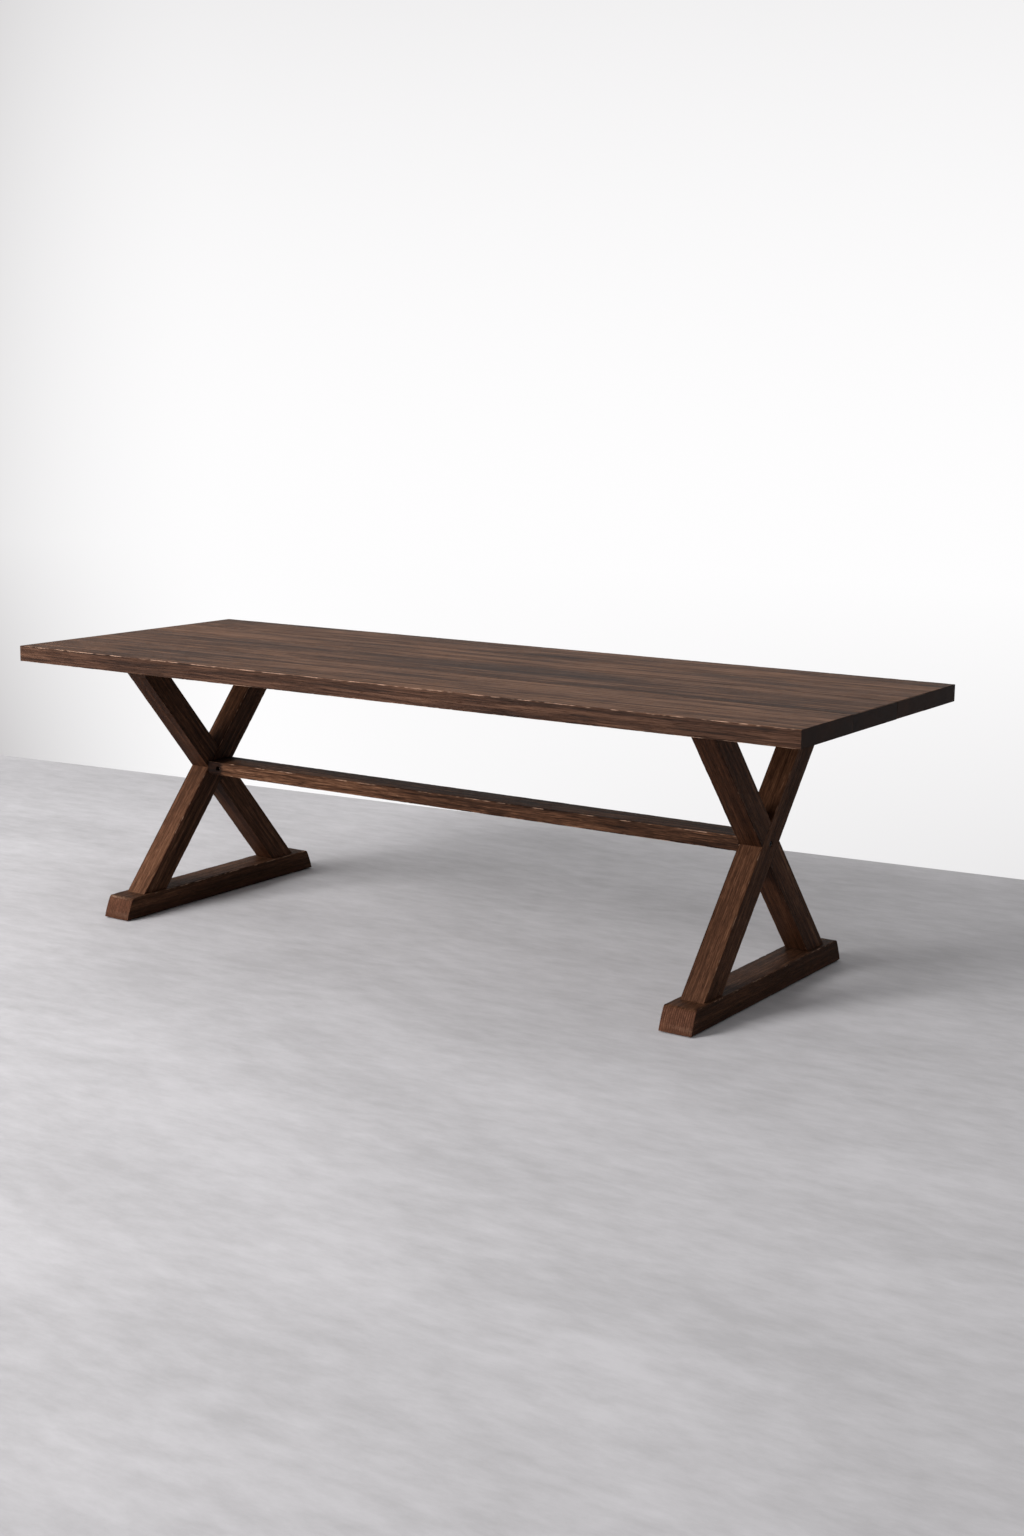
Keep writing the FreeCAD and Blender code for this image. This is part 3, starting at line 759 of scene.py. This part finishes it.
# %% Wood screws
WAFER_HEIGHT, WAFER_RADIUS, COUNTERSUNK_RADIUS = 2.5, 7.0, 7.5
wafer_screw = turned("wafer_screw_blank", [
    (-0.9, cross_recess(1.3, 0.9)), (-2.3, cross_recess(2.7, 1.5)), (-2.5, cross_recess(2.9, 1.8)),
    (-2.5, 4.2), (-2.3, 5.6), (-1.8, 6.6), (-1.1, 7.0), (-0.3, 7.0), (0.0, 6.8), (0.0, 3.5),
    (0.5, 3.0), (9.0, 3.0), (9.6, 2.1)] + shank(10.0, 40.0, 0.33, 2.05)
    + [(42.5, 1.3), (44.4, 0.5), (45.0, 0.06)])
foot_screw = turned("foot_screw_blank", [
    (2.4, cross_recess(1.5, 1.0)), (0.3, cross_recess(3.2, 1.7)), (0.0, cross_recess(3.5, 2.0)),
    (0.0, 7.2), (0.25, 7.4), (3.5, 4.1), (4.6, 3.6), (32.0, 3.6), (32.8, 2.75)]
    + shank(33.2, 84.0, 0.4, 2.7) + [(87.0, 1.7), (89.3, 0.5), (90.0, 0.06)])
for trestle in ("right", "left"):
    for name, blank, head_radius, rows, slot, finish, pitch, ridge, thread in (
            ("top_screws", wafer_screw, WAFER_RADIUS, (-1, 0, 1), "black_steel", black_steel,
             2.6, 0.9, (9.0, 44.0)),
            ("foot_screws", foot_screw, COUNTERSUNK_RADIUS, (-1, 1), "zinc_steel", zinc_steel,
             3.2, 1.2, (32.5, 88.0))):
        node = f"{trestle}_{name}"
        low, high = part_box(node)
        reach = high.y - head_radius / 1000
        under_head = low.z + (WAFER_HEIGHT / 1000 if name == "top_screws" else 0.0)
        seats = [((middle_of(node).x, row * reach, under_head), (0, 0, 1)) for row in rows]
        set_fasteners(node, blank, seats, slot, finish, pitch, ridge, thread)

for blank in (socket_bolt, washer, barrel_nut, drill, wafer_screw, foot_screw):
    bpy.data.objects.remove(blank)
print("blanks put away")

# %% [markdown]
# ## Felt under the feet
# The table stands on two strips of pressed felt under each foot. Felt is cut with a blade, so its
# edges are soft and a little wavy, never crisp. Each strip is bevelled, sliced fine, and its
# edges are pushed in unevenly by the wear tree. It carries the weight on its whole face, so it
# stays flat.

# %% Felt strips
FELT_STEP, FELT_EDGE, FELT_SEED = 0.004, 0.0009, 70.0


def felt_strips(node):
    """A mesh of the strips under a foot, with rounded edges and points close together."""
    strips = whole_copy(node)
    low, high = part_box(node)
    bmesh.ops.bevel(strips, geom=strips.edges[:], offset=FELT_EDGE, segments=3, profile=0.5,
                    affect="EDGES")
    for axis in (X, Y):
        first, last = low.dot(axis), high.dot(axis)
        for count in range(1, round((last - first) / FELT_STEP)):
            slice_across(strips, axis * (first + count * FELT_STEP), axis)
    return mesh_from(strips, node + "_cut")


for number, node in enumerate(("right_glide_strips", "left_glide_strips")):
    piece = run_tree(wear_tree, felt_strips(node), node + "_felt",
                     {"Rub": 0.0006, "Rub Length": 0.009, "Knock": 0.0, "Joint Share": 1.0,
                      "Seed": FELT_SEED + number, "Finish": felt})
    ride_for(piece, node, "felt")
    print(f"{node}: {len(piece.data.polygons)} faces")

# %% [markdown]
# ## Oak inside the joints
# The loose tongues between the boards and the wedges in the tenons are plain straight shapes that
# the CAD model has right, so those nodes stay and only get their finish: oak with its grain along
# each tongue, and up and down in each wedge, because a wedge has to be driven along its grain.

# %% Tongues and wedges
tongue_oak = plain_oak("oak_tongues", X, Y)
wedge_oak = plain_oak("oak_wedges", Z, X)
for node, thing in nodes.items():
    if "tongue" in node or "wedge" in node:
        for slot in thing.material_slots:
            slot.material = tongue_oak if "tongue" in node else wedge_oak
        print(node, "finished in", thing.material_slots[0].material.name)

# %% [markdown]
# ## A plain floor
# A pale floor keeps the eye on the wood, and takes the soft shadows that seat the feet on it. It
# is one disc with a faint mottle. Far out it glows until it is as white as the dome behind it, so
# that no horizon shows.

# %% Floor
FLOOR_RADIUS, FADE_FROM, FADE_TO = 40.0, 6.0, 16.0
FLOOR_STOPS = [(0.38, (0.455, 0.441, 0.451)), (0.62, (0.575, 0.558, 0.573))]
shape = bmesh.new()
bmesh.ops.create_circle(shape, cap_ends=True, segments=96, radius=FLOOR_RADIUS)
floor = bpy.data.objects.new("floor", mesh_from(shape, "floor"))
bpy.context.scene.collection.objects.link(floor)
material, start = new_finish("pale_floor")
place = start.add("ShaderNodeTexCoord", output="Object")
away = place.add("ShaderNodeVectorMath", {"operation": "LENGTH"}, {0: place}, "Value")
fade = away.between(FADE_FROM, FADE_TO)
mottle = (noise(place, (1.3, 2.8, 1.0), 4.0, 0.6) * 0.5
          + noise(place, (9.0, 22.0, 1.0), 5.0, 0.7) * 0.5)
colour = mottle.add("ShaderNodeValToRGB", {"stops": FLOOR_STOPS}, {"Fac": mottle})
colour = colour.towards((0.0, 0.0, 0.0, 1.0), fade)
white = fade.add("ShaderNodeCombineColor", sockets={"Red": fade, "Green": fade, "Blue": fade})
close_finish(colour, mottle * 0.1 + 0.7, mottle, 0.0002, Specular_IOR_Level=0.2,
             Emission_Color=white, Emission_Strength=0.95)
floor.data.materials.append(material)
print("floor radius", FLOOR_RADIUS, "m")

# %% [markdown]
# ## The room behind
# A white wall closes the view behind the table, a little out of line with it. It glows, with
# painted shade towards its top, its left end and, low down, the floor. Only what looks at its
# front sees it: it lights nothing, casts no shadow and is clear from behind, so that the table
# can be walked round. Beyond it stands a white dome.

# %% Wall and dome
WALL_HEIGHT, WALL_LEFT, WALL_RIGHT = 6.0, -14.0, 14.0
WALL_STOPS = [(0.0, (0.99, 0.985, 0.99)), (1.0, (0.55, 0.535, 0.54))]
DOME_WHITE = (0.95, 0.945, 0.95, 1.0)


def wall_foot(x):
    """The line where the wall meets the floor."""
    return x, 1.49 + 0.088 * x


def set_behind(piece, material):
    """Show a stage piece to the camera and to nothing else."""
    piece.data.materials.append(material)
    piece.visible_diffuse = piece.visible_glossy = piece.visible_shadow = False
    bpy.context.scene.collection.objects.link(piece)


shape = bmesh.new()
corners = [(*wall_foot(x), z) for x, z in ((WALL_LEFT, 0.0), (WALL_RIGHT, 0.0),
                                           (WALL_RIGHT, WALL_HEIGHT), (WALL_LEFT, WALL_HEIGHT))]
shape.faces.new([shape.verts.new(corner) for corner in corners])
material, start = new_finish("wall_white")
place = start.add("ShaderNodeTexCoord", output="Object")
run, level_up = (place.add("ShaderNodeSeparateXYZ", sockets={"Vector": place}, output=axis)
                 for axis in "XZ")
high = level_up.between(1.0, 3.1)
low = level_up.between(0.9, 0.0)
left, right = run.between(-2.0, -3.3), run.between(-1.8, 1.0)
# Painted shade: darker towards the top, the left end and, low down, the floor.
shade = high * high * 0.36 + left * left * 0.5 + low * (left * 0.5 + right * 0.36)
ramp = shade.add("ShaderNodeValToRGB", {"stops": WALL_STOPS}, {"Fac": shade})
glow = ramp.add("ShaderNodeEmission", sockets={"Color": ramp})
clear = start.add("ShaderNodeBsdfTransparent")
behind = start.add("ShaderNodeNewGeometry", output="Backfacing")
both = glow.add("ShaderNodeMixShader", sockets={0: behind, 1: glow, 2: clear})
both.add("ShaderNodeOutputMaterial", sockets={"Surface": both})
set_behind(bpy.data.objects.new("wall", mesh_from(shape, "wall")), material)

shape = bmesh.new()
bmesh.ops.create_uvsphere(shape, u_segments=32, v_segments=16, radius=1.5 * FLOOR_RADIUS)
material, start = new_finish("dome_white")
glow = start.add("ShaderNodeEmission", sockets={"Color": DOME_WHITE})
glow.add("ShaderNodeOutputMaterial", sockets={"Surface": glow})
set_behind(bpy.data.objects.new("dome", mesh_from(shape, "dome")), material)
print("wall and dome show white and light nothing")

# %% [markdown]
# ## Soft light
# One large light stands high to the left and in front, and a weaker one low beside it, as two
# panes of a tall window would. Front faces are lit, also below the top, and end faces fall into
# shade. Both are turned to the left, so that the light falls off along the table. The room fills
# the rest: it is brightest overhead and dim on the right, as beside a dark wall.

# %% Light
WORLD_STOPS = [(0.0, (1.0, 1.0, 1.0)), (0.43, (0.58, 0.59, 0.60)), (1.0, (0.06, 0.06, 0.065))]
TO_THE_DARK = (0.8, -0.25, -0.55)
WORLD_STRENGTH = 0.70
world = bpy.data.worlds.new("pale_room")
world.use_nodes = True
background = world.node_tree.nodes["Background"]
start = Wire(world.node_tree)
way = start.add("ShaderNodeTexCoord", output="Generated")
dim = way.add("ShaderNodeVectorMath", {"operation": "DOT_PRODUCT"}, {0: way, 1: TO_THE_DARK},
              "Value").between(-0.6, 0.8)
room = dim.add("ShaderNodeValToRGB", {"stops": WORLD_STOPS}, {"Fac": dim})
world.node_tree.links.new(room.socket, background.inputs["Color"])
background.inputs["Strength"].default_value = WORLD_STRENGTH
bpy.context.scene.world = world
bpy.context.scene.view_settings.view_transform = "Standard"


def soft_light(name, place, target, size, watts):
    """A square area light aimed at a point."""
    lamp = bpy.data.lights.new(name, "AREA")
    lamp.size, lamp.energy = size, watts
    light = bpy.data.objects.new(name, lamp)
    light.location = place
    aim = Vector(target) - Vector(place)
    light.rotation_euler = aim.to_track_quat("-Z", "Y").to_euler()
    bpy.context.scene.collection.objects.link(light)


soft_light("window", (-3.6, -6.2, 4.2), (-5.0, 0.0, 0.4), 4.2, 720.0)
soft_light("low_window", (-2.8, -6.6, 1.3), (-3.0, 0.0, 0.4), 2.2, 310.0)
print("two window lights and a dim room")

# %% [markdown]
# ## The camera
# The camera stands at eye height off the table's right end, with a fairly long lens, so that the
# long edges draw together only a little. Its way is built up from three angles: yaw round the
# upright, pitch below the horizon, and a trace of roll.

# %% Camera
yaw, pitch, roll = -0.59155, 0.18302, -0.00816
EYE, LENS, SENSOR = (3.10378, -4.36948, 1.46865), 47.184, 36.0
ahead = Vector((math.sin(yaw) * math.cos(pitch), math.cos(yaw) * math.cos(pitch),
                -math.sin(pitch)))
sideways = Vector((math.cos(yaw), -math.sin(yaw), 0.0))
below = ahead.cross(sideways)
right = sideways * math.cos(roll) + below * math.sin(roll)
down = below * math.cos(roll) - sideways * math.sin(roll)
lens = bpy.data.cameras.new("camera")
lens.lens, lens.sensor_width = LENS, SENSOR
camera = bpy.data.objects.new("camera", lens)
camera.matrix_world = (Matrix.Translation(EYE)
                       @ Matrix((right, -down, -ahead)).transposed().to_4x4())
bpy.context.scene.collection.objects.link(camera)
bpy.context.scene.camera = camera
print("camera", round(math.degrees(-yaw), 1), "degrees round,", round(math.degrees(pitch), 1),
      "down")
